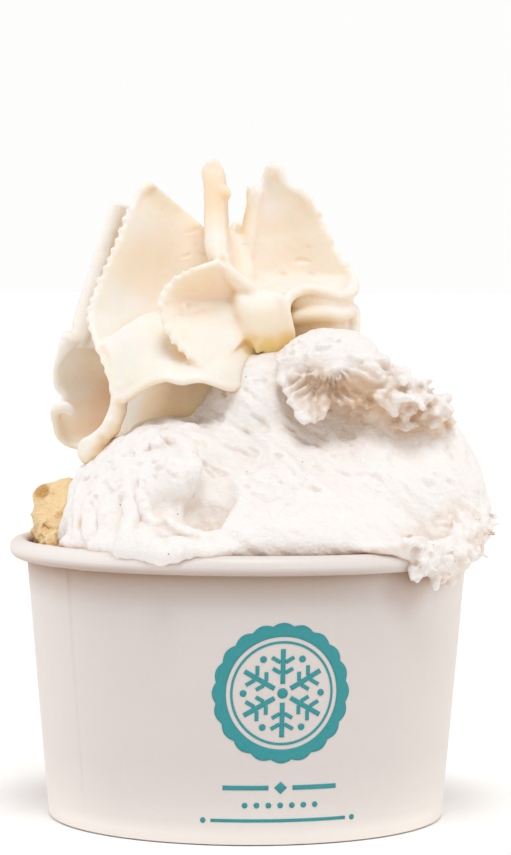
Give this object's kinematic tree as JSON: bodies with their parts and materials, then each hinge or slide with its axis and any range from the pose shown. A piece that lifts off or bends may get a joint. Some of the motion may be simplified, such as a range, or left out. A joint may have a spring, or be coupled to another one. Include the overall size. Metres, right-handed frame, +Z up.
{
  "type": "gelato cup",
  "caption": "Round paper tub heaped with white gelato that slumps over the rim, a biscuit-coloured scoop behind it and a tall piped swirl of whipped cream on top.",
  "frame": {"origin": "on the table, on the axis of the tub", "axes": "+Z up; -Y is the front, from which the biscuit scoop is on the left and the gelato slumps over the rim on the right (+X)"},
  "size_m": [0.0908, 0.09, 0.1223],
  "materials": {
    "paper": "smooth coated board, satin",
    "white_gelato": "moist matt ice cream",
    "biscuit_gelato": "crumbly matt ice cream",
    "cream": "soft satin whipped cream"
  },
  "bodies": {
    "root": {"cup_wall": "paper", "cup_base": "paper", "white_gelato": "white_gelato", "biscuit_gelato": "biscuit_gelato", "whipped_cream": "cream"}
  },
  "joints": []
}
